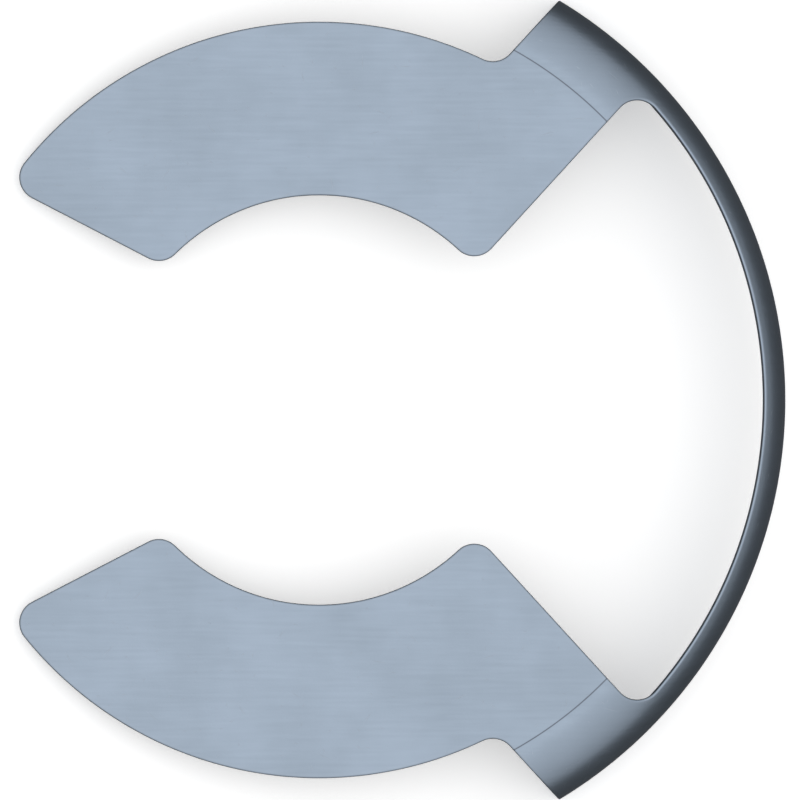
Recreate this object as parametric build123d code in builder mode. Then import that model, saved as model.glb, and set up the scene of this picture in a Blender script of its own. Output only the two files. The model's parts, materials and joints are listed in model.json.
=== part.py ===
# Radially fitted retaining clip, stamped and pressed from one piece of spring-steel strip.
# Two flat crescent arms close on the groove of a shaft.  Slanted necks join them to a strap,
# which is turned down at right angles and springs round the back of the clip.
# Lengths are in millimetres and angles in degrees.

import os
from math import asin, atan2, cos, degrees, hypot, radians, sin, tan

from build123d import *

# Driving dimensions
sheet = 1.0  # thickness of the strip
seat_radius = 9.2  # inner edge of the arms, which sits in the groove
arm_radius = 17.0  # outer edge of the arms
bend_start_radius = 18.0  # where the necks start to turn down
bend_radius = 3.0  # outer radius of that bend
strap_depth = 5.0  # from the top face down to the strap's lower edge
neck_slant = 47.6  # slant of the necks from the clip's centre line
neck_width = 5.3
neck_inner_offset = 1.14  # distance from the centre to the line of a neck's inner edge
mouth_flare = 27.4  # slant of the mouth's lead-in edges from the centre line
mouth_vertex = 4.6  # where the two lead-in edges would meet, behind the centre
corner_radius = 1.05  # corners of the outline, apart from the strap's square ends
roll_over = 0.08  # rounding of the cut edge on the outer side, from blanking and tumbling
join_tolerance = 0.002  # within this, the rounded edges of the arms and the strap are one

strap_radius = bend_start_radius + bend_radius
strap_inner_radius = strap_radius - sheet
neck_outer_offset = neck_width - neck_inner_offset
mouth_slant = 180 - mouth_flare
mouth_offset = -mouth_vertex * sin(radians(mouth_flare))


def crossing(slant, offset, radius):
    """Polar angle where a straight edge crosses a circle round the seat's centre.

    The edge runs outwards at the angle slant and passes the centre at the distance offset,
    which is positive when the edge lies on the anticlockwise side of the centre.
    """
    return slant + degrees(asin(offset / radius))


notch_centre_radius = strap_inner_radius - corner_radius
notch_end = crossing(neck_slant, -neck_inner_offset - corner_radius, notch_centre_radius)
strap_end = crossing(neck_slant, neck_outer_offset, strap_radius)
neck_root = crossing(neck_slant, neck_outer_offset, arm_radius)
notch = crossing(neck_slant, -neck_inner_offset, strap_inner_radius)
inner_lug = crossing(neck_slant, -neck_inner_offset, seat_radius)
outer_lug = crossing(mouth_slant, mouth_offset, seat_radius)
arm_tip = crossing(mouth_slant, mouth_offset, arm_radius)

# Outline of the clip seen along its axis: one half drawn, the other mirrored
with BuildSketch() as outline:
    with BuildLine():
        strap_inside = CenterArc((0, 0), strap_inner_radius, 0, notch)
        seat_edge = CenterArc((0, 0), seat_radius, inner_lug, outer_lug - inner_lug)
        arm_edge = CenterArc((0, 0), arm_radius, arm_tip, neck_root - arm_tip)
        strap_outside = CenterArc((0, 0), strap_radius, strap_end, -strap_end)
        Line(strap_inside @ 1, seat_edge @ 0)
        Line(seat_edge @ 1, arm_edge @ 0)
        Line(arm_edge @ 1, strap_outside @ 0)
        Line(strap_outside @ 1, strap_inside @ 0)
    make_face()
    mirror(about=Plane.XZ)
    middle_radius = (strap_inner_radius + strap_radius) / 2
    rounded = outline.vertices().filter_by(lambda v: hypot(v.X, v.Y) < middle_radius)
    fillet(rounded, corner_radius)

# Section of the pressed strip: flat, turned down round the bend, then upright
with BuildSketch(Plane.XZ) as section:
    with BuildLine():
        top = Line((0, 0), (bend_start_radius, 0))
        bend_centre = (bend_start_radius, -bend_radius)
        outer_bend = CenterArc(bend_centre, bend_radius, 90, -90)
        outer_wall = Line(outer_bend @ 1, (strap_radius, -strap_depth))
        foot = Line(outer_wall @ 1, (strap_inner_radius, -strap_depth))
        inner_wall = Line(foot @ 1, (strap_inner_radius, -bend_radius))
        inner_bend = CenterArc(bend_centre, bend_radius - sheet, 0, 90)
        underside = Line(inner_bend @ 1, (0, -sheet))
        Line(underside @ 1, top @ 0)
    make_face()

# Blanking rounds the cut edge on the outer side and leaves the other side sharp.  The strap's
# lower edge stays square.  Between the ends of the notches the strap has one section, which is
# drawn with its rounding and revolved.
with BuildSketch(Plane.XZ) as strap_section:
    add(section.sketch)
    with Locations((strap_inner_radius, -strap_depth)):
        Rectangle(sheet, strap_depth, align=(Align.MIN, Align.MIN), mode=Mode.INTERSECT)
    fillet(strap_section.vertices().sort_by(Axis.Y)[-1], roll_over)

with BuildPart() as strap:
    revolve(strap_section.sketch.rotate(Axis.Z, -notch_end), axis=Axis.Z, revolution_arc=2 * notch_end)

# The arms with their necks stop at the rays through the ends of the notches
near_x = bend_start_radius * cos(radians(notch_end))
far_x = 2 * strap_radius
ray_slope = tan(radians(notch_end))
with BuildSketch() as arms_outline:
    add(outline.sketch)
    Polygon(
        (near_x, -near_x * ray_slope),
        (far_x, -far_x * ray_slope),
        (far_x, far_x * ray_slope),
        (near_x, near_x * ray_slope),
        align=None,
        mode=Mode.SUBTRACT,
    )

with BuildPart() as arms:
    revolve(section.sketch, axis=Axis.Z)
    extrude(arms_outline.sketch, amount=-strap_depth, mode=Mode.INTERSECT)
    flats = arms.faces().group_by(Axis.Z)[-1]
    bends = arms.faces().filter_by(GeomType.TORUS).sort_by(SortBy.AREA)[-2:]
    walls = arms.faces().filter_by(GeomType.CYLINDER).sort_by(SortBy.DISTANCE)[-2:]
    joins = arms.faces().filter_by(GeomType.PLANE).sort_by(Axis.X)[-2:]
    feet = arms.faces().group_by(Axis.Z)[0]
    skin_edges = ShapeList([*flats, *bends, *walls]).edges()
    square_edges = ShapeList([*joins, *feet]).edges()
    rim = [edge for edge in skin_edges if skin_edges.count(edge) == 1 and edge not in square_edges]
    fillet(rim, roll_over)

# The clip in its own frame: top face at Z = 0, the seat's axis along Z
pressed_clip = strap.part.fuse(arms.part, tol=join_tolerance)

# At rest it leans on the lower corners of the strap's two ends and on the arms' tips
strap_corner = crossing(neck_slant, neck_outer_offset, strap_inner_radius)
strap_corner_x = strap_inner_radius * cos(radians(strap_corner))
arm_tip_x = outline.sketch.bounding_box().min.X
lean = degrees(atan2(strap_depth - sheet, strap_corner_x - arm_tip_x))
leaning = pressed_clip.rotate(Axis.Y, -lean).bounding_box()

with BuildPart() as retaining_clip:
    with Locations((-leaning.center().X, 0, -leaning.min.Z)):
        add(pressed_clip, rotation=(0, -lean, 0))

os.makedirs("parts", exist_ok=True)
retaining_clip.part.label = "retaining_clip"
export_step(retaining_clip.part, "parts/retaining_clip.step")
print("lean in degrees:", round(lean, 4))
print("centre of the seat at the top face:", (-leaning.center().X, 0, -leaning.min.Z))
print("box:", retaining_clip.part.bounding_box())
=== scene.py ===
import json
import math

import bmesh
import bpy
import numpy as np
from mathutils import Matrix, Vector, kdtree
from mathutils.geometry import delaunay_2d_cdt


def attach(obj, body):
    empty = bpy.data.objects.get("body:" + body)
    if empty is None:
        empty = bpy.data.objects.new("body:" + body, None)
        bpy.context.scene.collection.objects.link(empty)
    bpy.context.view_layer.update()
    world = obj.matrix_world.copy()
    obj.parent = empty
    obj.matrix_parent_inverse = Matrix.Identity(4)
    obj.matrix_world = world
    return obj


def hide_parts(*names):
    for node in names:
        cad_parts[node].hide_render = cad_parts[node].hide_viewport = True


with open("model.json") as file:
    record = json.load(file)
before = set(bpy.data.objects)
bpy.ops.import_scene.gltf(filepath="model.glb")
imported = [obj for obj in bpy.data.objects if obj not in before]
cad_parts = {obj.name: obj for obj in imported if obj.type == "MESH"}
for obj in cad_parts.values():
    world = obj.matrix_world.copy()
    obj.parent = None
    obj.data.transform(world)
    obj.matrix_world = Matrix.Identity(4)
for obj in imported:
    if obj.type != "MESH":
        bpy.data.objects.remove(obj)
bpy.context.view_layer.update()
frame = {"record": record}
mounts = {mount["name"]: mount for mount in frame["record"]["mounts"]}
millimetre = 0.001
quarterTurn = math.pi / 2

# the clip's own axes: the seat's centre at the outer face, Z along the shaft, X to the strap
shaftAxis = Vector(mounts["shaft_seat"]["axis"]).normalized()
seatMiddle = Vector(mounts["shaft_seat"]["pos_m"])
outerFace = Vector(mounts["outer_face"]["pos_m"])
clipOrigin = seatMiddle + shaftAxis * (outerFace - seatMiddle).dot(shaftAxis)
towardsStrap = Vector((0, 1, 0)).cross(shaftAxis).normalized()
clipAxes = Matrix((towardsStrap, Vector((0, 1, 0)), shaftAxis)).transposed()
clipLean = shaftAxis.angle((0, 0, 1))
print("frame loaded, the clip leans by", round(math.degrees(clipLean), 2), "degrees")

clipSizes = {  # millimetres and degrees
    "sheet": 1.0,
    "seatRadius": mounts["shaft_seat"]["dims"]["r_mm"],
    "armRadius": 17.0,
    "bendStart": 18.0,
    "bendRadius": 3.0,
    "strapDepth": 5.0,
    "neckSlant": 47.6,
    "neckInner": -1.14,  # the neck's edges pass the centre at these distances
    "neckOuter": 4.16,
    "mouthSlant": 152.6,
    "mouthVertex": 4.6,
    "cornerRadius": 1.05,
}

edgeSizes = {  # what the punch leaves on a cut edge, millimetres
    "rollOver": 0.08,
    "rollSteps": 7,
    "burnishShares": (0.2, 0.4),  # the smooth band under the rounded edge, of the depth that is left
    "tornShares": (0.45, 0.55, 0.66, 0.77, 0.88, 1),  # the torn band under that
    "breakIn": 0.02,  # the torn band lies this far back
    "tornGrain": 0.006,
    "tornSpread": 0.7,  # how much of its grain a point shares with the next
    "backBreak": 0.03,  # rounding of the edge on the inner side
    "backSteps": 3,
    "seed": 11,
}

meshSizes = {  # spacing of the points, millimetres
    "edge": 0.13,
    "corner": 0.07,
    "along": 0.34,  # along the strap
    "wallRow": 0.35,  # down the strap
    "bendRows": 30,
    "flat": 1.0,  # along the rows on the flats
    "flatRow": 0.8,  # between those rows
    "flatEnd": 0.4,  # they stop this far before the bend
    "supports": (0.05, 0.3),  # rows of points just inside the rounded edge
    "clear": 0.1,
    "merged": 1e-7,  # points closer than this are one
    "witnessWidth": 0.05,  # the groove that the die leaves where the bend starts, and the width of its painted shadow
    "witnessDepth": 0.02,
}

sheet = clipSizes["sheet"]
bendStart = clipSizes["bendStart"]
bendRadius = clipSizes["bendRadius"]
strapRadius = bendStart + bendRadius
bendEnd = bendStart + bendRadius * quarterTurn  # radii in the flat blank
blankReach = bendEnd + clipSizes["strapDepth"] - bendRadius
neckSlant = math.radians(clipSizes["neckSlant"])
neckOuter = clipSizes["neckOuter"]
mouthSlant = math.radians(clipSizes["mouthSlant"])
mouthOffset = -clipSizes["mouthVertex"] * math.sin(math.pi - mouthSlant)


# the blank's points are in millimetres, with the outer skin at height 0
def polar(radius, angle):
    return np.stack(np.broadcast_arrays(radius * np.cos(angle), radius * np.sin(angle)), axis=-1)


def crossing(slant, offset, radius):  # where a slanted edge crosses a circle round the seat
    return slant + np.arcsin(offset / radius)


def stations(length, spacing):
    count = math.ceil(length / spacing)
    return np.arange(count) / count


def arcRun(centre, radius, start, turn, spacing):
    return centre + polar(radius, start + turn * stations(abs(turn) * radius, spacing))


def circleRun(radius, start, end):
    return arcRun(np.zeros(2), radius, start, end - start, meshSizes["edge"])


def lineRun(start, end):
    return start + (end - start) * stations(np.linalg.norm(end - start), meshSizes["edge"])[:, None]


def roundedCorner(slant, offset, radius, lineSide, circleSide):
    # the arc that rounds a straight edge into a circle, and the directions it starts and ends in
    size = clipSizes["cornerRadius"]
    reach = radius + circleSide * size
    angle = crossing(slant, offset + lineSide * size, reach)
    lineWay = slant - lineSide * quarterTurn
    return {
        "centre": polar(reach, angle),
        "angle": angle,
        "circleWay": angle if circleSide < 0 else angle + math.pi,
        "lineWay": lineWay,
        "onLine": polar(reach, angle) + polar(size, lineWay),
    }


def cornerRun(corner, start, end):
    turn = (corner[end] - corner[start] + math.pi) % (2 * math.pi) - math.pi
    return arcRun(corner["centre"], clipSizes["cornerRadius"], corner[start], turn, meshSizes["corner"])


def planOutline():
    # the cut seen along the shaft, from the strap's middle round one arm to the start of the bend
    neckInner, wall = clipSizes["neckInner"], strapRadius - sheet
    seat, arm = clipSizes["seatRadius"], clipSizes["armRadius"]
    notch = roundedCorner(neckSlant, neckInner, wall, -1, -1)
    innerLug = roundedCorner(neckSlant, neckInner, seat, 1, 1)
    outerLug = roundedCorner(mouthSlant, mouthOffset, seat, -1, 1)
    armTip = roundedCorner(mouthSlant, mouthOffset, arm, -1, -1)
    neckRoot = roundedCorner(neckSlant, neckOuter, arm, 1, 1)
    return np.concatenate([
        circleRun(wall, 0, notch["angle"]),
        cornerRun(notch, "circleWay", "lineWay"),
        lineRun(notch["onLine"], innerLug["onLine"]),
        cornerRun(innerLug, "lineWay", "circleWay"),
        circleRun(seat, innerLug["angle"], outerLug["angle"]),
        cornerRun(outerLug, "circleWay", "lineWay"),
        lineRun(outerLug["onLine"], armTip["onLine"]),
        cornerRun(armTip, "lineWay", "circleWay"),
        circleRun(arm, armTip["angle"], neckRoot["angle"]),
        cornerRun(neckRoot, "circleWay", "lineWay"),
        lineRun(neckRoot["onLine"], polar(bendStart, crossing(neckSlant, neckOuter, bendStart))),
    ])


# half of the blank's outline: the cut seen in plan, the neck's outer edge over the bend, the foot
plan = planOutline()
planRadius = np.hypot(*plan.T)
planAngle = np.arctan2(plan[:, 1], plan[:, 0])
lineReach = bendStart + (blankReach - bendStart) * stations(blankReach - bendStart, meshSizes["edge"])
footShare = 1 - stations(strapRadius, meshSizes["edge"])
footShare = np.append(footShare, 0)
halfCount = len(planRadius) + len(lineReach) + len(footShare)


def cutOutline(depth):
    # closed outline of the blank at a depth through the strip, which is one number or one for each
    # point of a half, with the metal on its right.  The press later brings every cut upright, so
    # in the flat blank it slants wherever the strip is going to bend.
    depths = np.broadcast_to(depth, halfCount)
    window, line, foot = np.split(depths, np.cumsum([len(planRadius), len(lineReach)]))
    turned = np.arcsin(np.clip((planRadius - bendStart) / (bendRadius - window), 0, 1))
    onWindow = polar(np.minimum(planRadius, bendStart) + bendRadius * turned, planAngle)
    turned = np.minimum((lineReach - bendStart) / bendRadius, quarterTurn)
    pressedReach = bendStart + (bendRadius - line) * np.sin(turned)
    onLine = polar(lineReach, crossing(neckSlant, neckOuter, pressedReach))
    onFoot = polar(blankReach, footShare * crossing(neckSlant, neckOuter, strapRadius - foot))
    half = np.concatenate([onWindow, onLine, onFoot])
    return np.concatenate([half, half[-2:0:-1] * (1, -1)])


def metalSide(loop):  # mitred directions from the outline's points into the metal
    ahead = np.roll(loop, -1, axis=0) - loop
    ahead /= np.linalg.norm(ahead, axis=1, keepdims=True)
    right = np.stack([ahead[:, 1], -ahead[:, 0]], axis=-1)
    behind = np.roll(right, 1, axis=0)
    return (right + behind) / (1 + (right * behind).sum(axis=1, keepdims=True))


def inset(loop, amount):
    return loop + metalSide(loop) * np.reshape(amount, (-1, 1))


def edgeRows():
    # rows of points from the outer skin round the cut edge to the back:
    # depth, distance in from the outline, how much of a cut face, how torn
    roll, back, breakIn = edgeSizes["rollOver"], edgeSizes["backBreak"], edgeSizes["breakIn"]
    probe = roll / 4  # a shallow depth, which shows how the cut slants
    outline = cutOutline(0)
    slope = ((cutOutline(probe) - outline) * metalSide(outline)).sum(axis=1) / probe
    corner = np.arctan2(1, slope)[:halfCount]  # angle of metal between the skin and the cut
    rows = []
    for share in np.linspace(0, 1, edgeSizes["rollSteps"]):  # as a ball rolls round the edge
        turn = share * (math.pi - corner)
        depth = roll * (1 - np.cos(turn))
        setBack = roll / np.tan(corner / 2) - roll * np.sin(turn) - depth / np.tan(corner)
        rows.append((depth, setBack, share, 0))
    left = sheet - back - depth
    rows += [(depth + left * share, 0, 1, 0) for share in edgeSizes["burnishShares"]]
    rows += [(depth + left * share, breakIn, 1, 1) for share in edgeSizes["tornShares"]]
    for turn in np.linspace(0, quarterTurn, edgeSizes["backSteps"] + 1)[1:]:
        rows.append((sheet - back * (1 - math.sin(turn)), breakIn + back * (1 - math.cos(turn)),
                     math.cos(turn), 0))
    return rows


def wholeLoop(half):  # a value for each point of a half, carried round to the other half
    half = np.broadcast_to(half, halfCount)
    return np.concatenate([half, half[-2:0:-1]])


def tornLine(count, dice):  # how deep the torn band's grain is at each point of a row
    noise = dice.normal(size=count)
    noise += edgeSizes["tornSpread"] * (np.roll(noise, 1) + np.roll(noise, -1))
    return edgeSizes["tornGrain"] * np.abs(noise)


def insideLoop(points, loop):
    x, y = points.T
    inside = np.zeros(len(points), bool)
    for (ax, ay), (bx, by) in zip(loop, np.roll(loop, -1, axis=0)):
        if ay != by:
            inside ^= ((ay > y) != (by > y)) & (x < (bx - ax) * (y - ay) / (by - ay) + ax)
    return inside


def nearestDistance(points, others):
    tree = kdtree.KDTree(len(others))
    for index, other in enumerate(others):
        tree.insert((*other, 0), index)
    tree.balance()
    return np.array([tree.find((*point, 0))[2] for point in points])


def skinPoints(ring):
    # points inside a skin: close rows round the bend and down the strap, wide ones on the flats
    flatRow, wallRow = meshSizes["flatRow"], meshSizes["wallRow"]
    witness = bendStart + meshSizes["witnessWidth"] * np.array((-3, -1, 0, 1))  # a support, then the groove
    rows = [
        *np.arange(clipSizes["seatRadius"] + flatRow, bendStart - meshSizes["flatEnd"], flatRow),
        *witness,
        *np.linspace(bendStart, bendEnd, meshSizes["bendRows"] + 1)[1:],
        *np.arange(bendEnd + wallRow, blankReach, wallRow),
    ]
    points = inset(ring, meshSizes["supports"][0])
    candidates = [inset(ring, meshSizes["supports"][1])]
    for radius in rows:
        spacing = meshSizes["along"] if radius >= witness[0] else meshSizes["flat"]
        turns = np.linspace(-math.pi, math.pi, 2 * math.ceil(math.pi * radius / spacing), endpoint=False)
        candidates.append(polar(radius, turns))
    for group in candidates:
        group = group[insideLoop(group, ring)]
        group = group[nearestDistance(group, points) > meshSizes["clear"]]
        points = np.concatenate([points, group])
    return points


def fillSkin(ring):
    # triangles over a skin, whose corners count the ring first and then the points inside
    inner = skinPoints(ring)
    points = np.concatenate([ring, inner])
    rim = [(index, (index + 1) % len(ring)) for index in range(len(ring))]
    insideRim = 1  # leave out the triangles across the gaps
    filled = delaunay_2d_cdt([Vector(point) for point in points], rim, [], insideRim, meshSizes["merged"])
    triangles, sources = filled[2:4]
    triangles = [[sources[corner][0] for corner in triangle] for triangle in triangles]
    return inner, nearestDistance(inner, ring), triangles


def makeBlank():
    dice = np.random.default_rng(edgeSizes["seed"])
    heights, places, cuts, tears, faces = [], [], [], [], []
    for depth, setBack, cut, torn in edgeRows():
        loop = cutOutline(depth)
        places.append(inset(loop, wholeLoop(setBack) + torn * tornLine(len(loop), dice)))
        heights.append(-wholeLoop(depth))
        cuts.append(np.full(len(loop), float(cut)))
        tears.append(np.full(len(loop), float(torn)))
    count, rows = len(places[0]), len(places)
    for row in range(rows - 1):
        for index in range(count):
            ahead = (index + 1) % count
            faces.append([row * count + index, row * count + ahead,
                          (row + 1) * count + ahead, (row + 1) * count + index])
    edgeFar = [np.zeros(count * rows)]
    for row, level, lineDepth in ((0, 0, meshSizes["witnessDepth"]), (rows - 1, -sheet, 0)):
        inner, far, triangles = fillSkin(places[row])
        start = sum(map(len, places)) - count
        faces += [[row * count + corner if corner < count else start + corner for corner in triangle]
                  for triangle in triangles]
        groove = 1 - np.abs(np.hypot(*inner.T) - bendStart) / meshSizes["witnessWidth"]
        places.append(inner)
        heights.append(level - lineDepth * np.clip(groove, 0, 1))
        cuts.append(np.zeros(len(inner)))
        tears.append(np.zeros(len(inner)))
        edgeFar.append(far)
        print("skin at", level, "mm:", len(inner), "points inside,", len(triangles), "triangles")
    mesh = bpy.data.meshes.new("flatBlank")
    mesh.from_pydata(np.column_stack([np.concatenate(places), np.concatenate(heights)]).tolist(), [], faces)
    for name, values in (("cutFace", cuts), ("tornFace", tears), ("edgeFar", edgeFar)):
        attribute = mesh.attributes.new(name, "FLOAT", "POINT")
        attribute.data.foreach_set("value", np.concatenate(values).astype(np.float32))
    form = bmesh.new()
    form.from_mesh(mesh)
    bmesh.ops.recalc_face_normals(form, faces=form.faces)
    openEdges = sum(not edge.is_manifold for edge in form.edges)
    volume = round(form.calc_volume(), 1)
    print("blank:", len(form.verts), "points,", openEdges, "open edges,", volume, "mm3")
    form.to_mesh(mesh)
    form.free()
    return mesh


def feed(tree, socket, value):  # a link from another node's socket, or a fixed value
    if isinstance(value, bpy.types.NodeSocket):
        tree.links.new(value, socket)
    else:
        socket.default_value = value


def addNode(tree, kind, inputs=None, **settings):
    node = tree.nodes.new(kind)
    for name, value in settings.items():
        setattr(node, name, value)
    for name, value in (inputs or {}).items():
        feed(tree, node.inputs[name], value)
    return node


def sums(tree, operation, *values, clamp=False):
    node = addNode(tree, "ShaderNodeMath", dict(enumerate(values)), operation=operation, use_clamp=clamp)
    return node.outputs[0]


def pressTree():
    # turns the blank's strap down round the bend, leans the clip to its rest and gives it its finish
    tree = bpy.data.node_groups.new("stripPress", "GeometryNodeTree")
    tree.is_modifier = True
    sockets = (("Blank", "NodeSocketGeometry"), ("Bend Start", "NodeSocketFloat"),
               ("Bend Radius", "NodeSocketFloat"), ("Lean", "NodeSocketFloat"),
               ("Seat Centre", "NodeSocketVector"), ("Unit", "NodeSocketFloat"),
               ("Finish", "NodeSocketMaterial"))
    for name, kind in sockets:
        tree.interface.new_socket(name, in_out="INPUT", socket_type=kind)
    tree.interface.new_socket("Clip", in_out="OUTPUT", socket_type="NodeSocketGeometry")
    given = addNode(tree, "NodeGroupInput").outputs
    place = addNode(tree, "GeometryNodeInputPosition").outputs[0]
    kept = addNode(tree, "GeometryNodeStoreNamedAttribute",
                   {"Geometry": given["Blank"], "Name": "blankPlace"}, data_type="FLOAT_VECTOR")
    feed(tree, [socket for socket in kept.inputs if socket.name == "Value" and socket.enabled][0], place)
    across = addNode(tree, "ShaderNodeVectorMath", {0: place, 1: (1, 1, 0)}, operation="MULTIPLY").outputs[0]
    reach = addNode(tree, "ShaderNodeVectorMath", {0: across}, operation="LENGTH").outputs["Value"]
    outwards = addNode(tree, "ShaderNodeVectorMath", {0: across}, operation="NORMALIZE").outputs[0]
    height = addNode(tree, "ShaderNodeSeparateXYZ", {0: place}).outputs["Z"]
    turned = sums(tree, "MAXIMUM", sums(tree, "SUBTRACT", reach, given["Bend Start"]), 0.0)
    turn = sums(tree, "MINIMUM", sums(tree, "DIVIDE", turned, given["Bend Radius"]), quarterTurn)
    straight = sums(tree, "SUBTRACT", turned, sums(tree, "MULTIPLY", turn, given["Bend Radius"]))
    fibre = sums(tree, "ADD", given["Bend Radius"], height)
    flat = sums(tree, "MINIMUM", reach, given["Bend Start"])
    pressedReach = sums(tree, "MULTIPLY_ADD", fibre, sums(tree, "SINE", turn), flat)
    rise = sums(tree, "MULTIPLY", fibre, sums(tree, "COSINE", turn))
    rise = sums(tree, "SUBTRACT", rise, given["Bend Radius"])
    drop = addNode(tree, "ShaderNodeCombineXYZ", {"Z": sums(tree, "SUBTRACT", rise, straight)}).outputs[0]
    level = addNode(tree, "ShaderNodeVectorMath", {0: outwards, "Scale": pressedReach}, operation="SCALE")
    pressed = addNode(tree, "ShaderNodeVectorMath", {0: level.outputs[0], 1: drop}, operation="ADD")
    moved = addNode(tree, "GeometryNodeSetPosition",
                    {"Geometry": kept.outputs[0], "Position": pressed.outputs[0]})
    lean = addNode(tree, "ShaderNodeCombineXYZ", {"Y": sums(tree, "MULTIPLY", given["Lean"], -1.0)})
    size = addNode(tree, "ShaderNodeCombineXYZ", {axis: given["Unit"] for axis in "XYZ"})
    laid = addNode(tree, "GeometryNodeTransform",
                   {"Geometry": moved.outputs[0], "Translation": given["Seat Centre"],
                    "Rotation": lean.outputs[0], "Scale": size.outputs[0]})
    real = addNode(tree, "GeometryNodeRealizeInstances", {"Geometry": laid.outputs[0]})
    dressed = addNode(tree, "GeometryNodeSetMaterial",
                      {"Geometry": real.outputs[0], "Material": given["Finish"]})
    addNode(tree, "NodeGroupOutput", {"Clip": dressed.outputs[0]})
    return tree


def pressedClip(finish):
    blank = bpy.data.objects.new("flatBlank", makeBlank())
    bpy.context.scene.collection.objects.link(blank)
    tree = pressTree()
    press = blank.modifiers.new("stripPress", "NODES")
    press.node_group = tree
    chosen = {"Bend Start": bendStart, "Bend Radius": bendRadius, "Lean": clipLean,
              "Seat Centre": clipOrigin, "Unit": millimetre, "Finish": finish}
    for socket in tree.interface.items_tree:
        if socket.name in chosen:
            press[socket.identifier] = chosen[socket.name]
    graph = bpy.context.evaluated_depsgraph_get()
    mesh = bpy.data.meshes.new_from_object(blank.evaluated_get(graph), preserve_all_data_layers=True,
                                           depsgraph=graph)
    blank.modifiers.remove(press)
    bpy.data.objects.remove(blank)
    mesh.name = "retainingClip"
    mesh.shade_smooth()
    clip = bpy.data.objects.new("retainingClip", mesh)
    bpy.context.scene.collection.objects.link(clip)
    print("pressed:", len(mesh.vertices), "points,", len(mesh.polygons), "faces")
    return clip


finishSizes = {  # millimetres where nothing else is said
    "colour": (0.265, 0.318, 0.387, 1),
    "shade": (0.248, 0.298, 0.361, 1),  # where the passivated surface is a little duller
    "worn": (0.40, 0.45, 0.51, 1),  # rubbed edges and nicks
    "torn": (0.17, 0.19, 0.22, 1),
    "line": (0.08, 0.09, 0.11, 1),  # painted shadow along the die's groove where the bend starts
    "wornShare": 0.05,  # how strongly each of those colours shows
    "nickShare": 0.4,
    "grooveShadeShare": 0.9,
    "roughness": 0.40,
    "patchRough": 0.10,  # what each adds to the roughness
    "grainRough": 0.12,
    "tornRough": 0.18,
    "formedRough": -0.04,
    "patch": 5.0,
    "patchSpan": (0.3, 0.7),  # the part of a noise's range that shows
    "mottle": (3.0, 0.6),  # detail and roughness of the busier noises
    "grainLength": 3.0,
    "grainWidth": 0.16,
    "grainHeight": 0.0040,
    "peel": 0.14,
    "peelHeight": 0.0030,
    "wear": 0.16,  # how far the rubbing reaches in from an edge
    "wearRound": (1.0, 0.6),  # where it fades on the rounded edge, of the way round it
    "nickCells": (2.6, 1.1),
    "nickLengths": (0.9, 0.32),
    "nickWidth": 0.022,
    "nickDepth": 0.0050,
    "nickBow": 0.12,
    "nickGaps": 0.45,  # share of the cells that have none
    "dragWidth": 0.22,  # drag marks down the bend and the strap
    "dragLength": 3.0,
    "dragHeight": 0.0040,
    "dragFade": 1.0,
    "scoreWidth": 0.09,  # the punch's marks down a cut edge
    "scoreLength": 2.5,
    "scoreHeight": 0.0060,
}


def attributeOf(tree, name, output="Fac"):
    return addNode(tree, "ShaderNodeAttribute", attribute_name=name).outputs[output]


def noiseOf(tree, vector, detail=2.0, roughness=0.5):
    return addNode(tree, "ShaderNodeTexNoise",
                   {"Vector": vector, "Scale": 1.0, "Detail": detail, "Roughness": roughness}).outputs["Fac"]


def stretched(tree, vector, sizes):  # a pattern's place, given its size along each axis
    return addNode(tree, "ShaderNodeMapping",
                   {"Vector": vector, "Scale": [1 / size for size in sizes]}).outputs[0]


def ramp(tree, value, start, end):  # 0 before the start, 1 past the end, smooth between
    node = addNode(tree, "ShaderNodeMapRange", {"Value": value, "From Min": start, "From Max": end},
                   interpolation_type="SMOOTHSTEP")
    return node.outputs[0]


def blend(tree, share, first, second):
    node = addNode(tree, "ShaderNodeMix", data_type="RGBA")
    for name, value in (("Factor", share), ("A", first), ("B", second)):
        feed(tree, [socket for socket in node.inputs if socket.name == name and socket.enabled][0], value)
    return [socket for socket in node.outputs if socket.enabled][0]


def nicks(tree, place, cell, length, width):
    # short straight scratches, one at most in each cell, turned every way
    cells = addNode(tree, "ShaderNodeTexVoronoi", {"Vector": place, "Scale": 1 / cell, "Randomness": 1.0})
    chance = addNode(tree, "ShaderNodeSeparateXYZ", {0: cells.outputs["Color"]}).outputs
    away = addNode(tree, "ShaderNodeVectorMath", {0: place, 1: cells.outputs["Position"]},
                   operation="SUBTRACT").outputs[0]
    turned = addNode(tree, "ShaderNodeVectorRotate",
                     {"Vector": away, "Angle": sums(tree, "MULTIPLY", chance["X"], 2 * math.pi)},
                     rotation_type="Z_AXIS").outputs[0]
    along = addNode(tree, "ShaderNodeSeparateXYZ", {0: turned}).outputs
    bow = sums(tree, "MULTIPLY", sums(tree, "MULTIPLY", along["X"], along["X"]), finishSizes["nickBow"])
    side = sums(tree, "ABSOLUTE", sums(tree, "ADD", along["Y"], bow))
    thin = ramp(tree, side, width, 0.0)
    ends = ramp(tree, sums(tree, "ABSOLUTE", along["X"]), length / 2, 0.0)
    picked = sums(tree, "GREATER_THAN", chance["Y"], finishSizes["nickGaps"])
    return sums(tree, "MULTIPLY", sums(tree, "MULTIPLY", thin, ends), picked)


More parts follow.
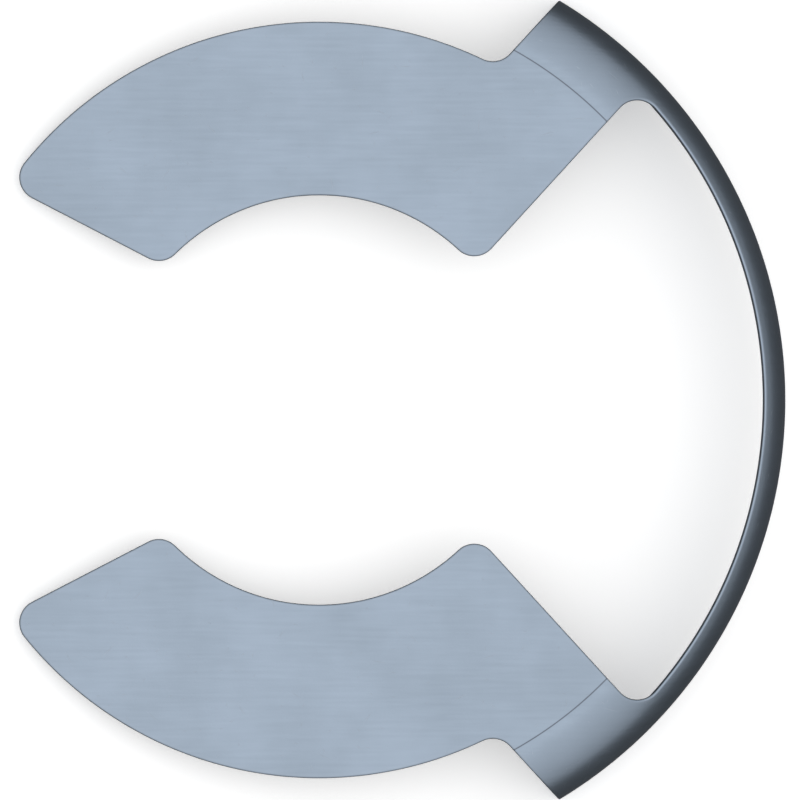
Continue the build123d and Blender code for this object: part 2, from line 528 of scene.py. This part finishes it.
def springSteel():
    # bluish passivated steel: rolled grain, tumbled nicks and edges, drag marks where it was pressed, and a
    # painted shadow along the die's groove where the bend starts
    sizes = finishSizes
    material = bpy.data.materials.new("springSteel")
    material.use_nodes = True
    tree = material.node_tree
    shader = tree.nodes["Principled BSDF"]
    place = attributeOf(tree, "blankPlace", "Vector")
    cut = attributeOf(tree, "cutFace")
    torn = attributeOf(tree, "tornFace")
    skin = sums(tree, "SUBTRACT", 1.0, cut)
    patch = noiseOf(tree, stretched(tree, place, [sizes["patch"]] * 3), *sizes["mottle"])
    grain = noiseOf(tree, stretched(tree, place, [sizes["grainLength"]] + [sizes["grainWidth"]] * 2))
    peel = noiseOf(tree, stretched(tree, place, [sizes["peel"]] * 3))
    score = stretched(tree, place, [sizes["scoreWidth"]] * 2 + [sizes["scoreLength"]])
    score = noiseOf(tree, score, *sizes["mottle"])
    worn = ramp(tree, attributeOf(tree, "edgeFar"), sizes["wear"], 0.0)
    worn = sums(tree, "MULTIPLY", worn, ramp(tree, cut, *sizes["wearRound"]))
    reach = addNode(tree, "ShaderNodeSeparateXYZ", {0: place}).outputs
    radius = addNode(tree, "ShaderNodeVectorMath", {0: place}, operation="LENGTH").outputs["Value"]
    angle = sums(tree, "ARCTAN2", reach["Y"], reach["X"])
    polarPlace = addNode(tree, "ShaderNodeCombineXYZ",
                         {"X": sums(tree, "MULTIPLY", angle, strapRadius), "Y": radius}).outputs[0]
    drag = stretched(tree, polarPlace, (sizes["dragWidth"], sizes["dragLength"], 1.0))
    drag = noiseOf(tree, drag, *sizes["mottle"])
    formed = ramp(tree, radius, bendStart, bendStart + sizes["dragFade"])
    formed = sums(tree, "MULTIPLY", formed, skin)
    scratches = None
    for cell, length in zip(sizes["nickCells"], sizes["nickLengths"]):
        layer = nicks(tree, place, cell, length, sizes["nickWidth"])
        scratches = layer if scratches is None else sums(tree, "MAXIMUM", scratches, layer)
    scratches = sums(tree, "MULTIPLY", scratches, skin)

    colour = blend(tree, ramp(tree, patch, *sizes["patchSpan"]), sizes["colour"], sizes["shade"])
    colour = blend(tree, sums(tree, "MULTIPLY", worn, sizes["wornShare"]), colour, sizes["worn"])
    colour = blend(tree, sums(tree, "MULTIPLY", scratches, sizes["nickShare"]), colour, sizes["worn"])
    # painted shadow: a dark band of colour along the die's groove where the bend starts
    line = ramp(tree, sums(tree, "ABSOLUTE", sums(tree, "SUBTRACT", radius, bendStart)),
                meshSizes["witnessWidth"], 0.0)
    outside = sums(tree, "GREATER_THAN", reach["Z"], -sheet / 4)  # only the outer skin gets the painted groove shadow
    line = sums(tree, "MULTIPLY", sums(tree, "MULTIPLY", line, outside), sizes["grooveShadeShare"])
    colour = blend(tree, line, colour, sizes["line"])
    dull = sums(tree, "MULTIPLY", torn, ramp(tree, score, *sizes["patchSpan"]))
    colour = blend(tree, dull, colour, sizes["torn"])
    feed(tree, shader.inputs["Base Color"], colour)
    shader.inputs["Metallic"].default_value = 1

    rough = sizes["roughness"]
    for noise, amount in ((patch, "patchRough"), (grain, "grainRough")):  # either side of its middle
        rough = sums(tree, "MULTIPLY_ADD", sums(tree, "SUBTRACT", noise, 0.5), sizes[amount], rough)
    for share, amount in ((torn, "tornRough"), (formed, "formedRough")):
        rough = sums(tree, "MULTIPLY_ADD", share, sizes[amount], rough)
    feed(tree, shader.inputs["Roughness"], rough)

    height = sums(tree, "MULTIPLY", peel, sizes["peelHeight"])
    for noise, where, amount in ((grain, skin, "grainHeight"), (drag, formed, "dragHeight"),
                                 (score, cut, "scoreHeight")):
        height = sums(tree, "MULTIPLY_ADD", sums(tree, "MULTIPLY", noise, where), sizes[amount], height)
    height = sums(tree, "MULTIPLY_ADD", scratches, -sizes["nickDepth"], height)
    relief = addNode(tree, "ShaderNodeBump", {"Height": height, "Distance": millimetre, "Strength": 1.0})
    feed(tree, shader.inputs["Normal"], relief.outputs[0])
    return material


studioSizes = {  # metres
    "table": 3.0,
    "cameraAway": 1.3,
    "cameraSees": (0.05, 10),  # from the lens
    "fieldWidth": 0.03595,
    "aimPastSeat": 0.00364,
    "lampHeight": 0.5,
    "lampWidth": 0.3,
    "lampShine": 0.45,  # brightness against a white page
    "skyShine": 1.3,
    "skyFall": 1.1,
    "tableWhite": 0.9,
    "tableBounce": 0.09,  # the darker table that the steel sees
    "tableLift": 0.25,
    "tableRough": 0.9,
    "tableSpecular": 0.1,
}


def makeTable():
    form = bmesh.new()
    bmesh.ops.create_grid(form, x_segments=1, y_segments=1, size=studioSizes["table"] / 2)
    mesh = bpy.data.meshes.new("table")
    form.to_mesh(mesh)
    form.free()
    material = bpy.data.materials.new("paleTable")
    material.use_nodes = True
    tree = material.node_tree
    shader = tree.nodes["Principled BSDF"]
    seen = addNode(tree, "ShaderNodeLightPath").outputs["Is Camera Ray"]  # it is darker to the steel
    white, bounce = ((*[studioSizes[name]] * 3, 1) for name in ("tableWhite", "tableBounce"))
    feed(tree, shader.inputs["Base Color"], blend(tree, seen, bounce, white))
    shader.inputs["Emission Color"].default_value = (1, 1, 1, 1)
    feed(tree, shader.inputs["Emission Strength"], sums(tree, "MULTIPLY", seen, studioSizes["tableLift"]))
    shader.inputs["Roughness"].default_value = studioSizes["tableRough"]
    shader.inputs["Specular IOR Level"].default_value = studioSizes["tableSpecular"]
    mesh.materials.append(material)
    table = bpy.data.objects.new("table", mesh)
    bpy.context.scene.collection.objects.link(table)


def makeLight():
    # a tent of light, brightest overhead, and one softbox
    world = bpy.data.worlds.new("studio")
    bpy.context.scene.world = world
    world.use_nodes = True
    tree = world.node_tree
    backdrop = tree.nodes["Background"]
    way = addNode(tree, "ShaderNodeTexCoord").outputs["Generated"]
    up = addNode(tree, "ShaderNodeSeparateXYZ", {0: way}).outputs["Z"]
    share = sums(tree, "MULTIPLY_ADD", up, 0.5, 0.5, clamp=True)  # 0 below, 1 overhead
    share = sums(tree, "POWER", share, studioSizes["skyFall"])
    glow = sums(tree, "MULTIPLY", share, studioSizes["skyShine"])
    seen = addNode(tree, "ShaderNodeLightPath").outputs["Is Camera Ray"]
    feed(tree, backdrop.inputs["Strength"], sums(tree, "MAXIMUM", glow, seen))
    backdrop.inputs["Color"].default_value = (1, 1, 1, 1)
    lamp = bpy.data.lights.new("softbox", "AREA")
    lamp.size = studioSizes["lampWidth"]
    lamp.energy = studioSizes["lampShine"] * math.pi * lamp.size ** 2
    softbox = bpy.data.objects.new("softbox", lamp)
    bpy.context.scene.collection.objects.link(softbox)
    softbox.visible_camera = False
    softbox.matrix_world = (Matrix.Translation(clipOrigin + shaftAxis * studioSizes["lampHeight"])
                            @ clipAxes.to_4x4())


def makeCamera():
    lens = bpy.data.cameras.new("camera")
    lens.lens = lens.sensor_width * studioSizes["cameraAway"] / studioSizes["fieldWidth"]
    lens.clip_start, lens.clip_end = studioSizes["cameraSees"]
    camera = bpy.data.objects.new("camera", lens)
    bpy.context.scene.collection.objects.link(camera)
    aim = clipOrigin + towardsStrap * studioSizes["aimPastSeat"]
    camera.matrix_world = (Matrix.Translation(aim + shaftAxis * studioSizes["cameraAway"])
                           @ clipAxes.to_4x4())
    bpy.context.scene.camera = camera


clip = pressedClip(springSteel())
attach(clip, "root")
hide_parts("retaining_clip")
makeTable()
makeLight()
makeCamera()
bpy.context.scene.view_settings.view_transform = "Standard"
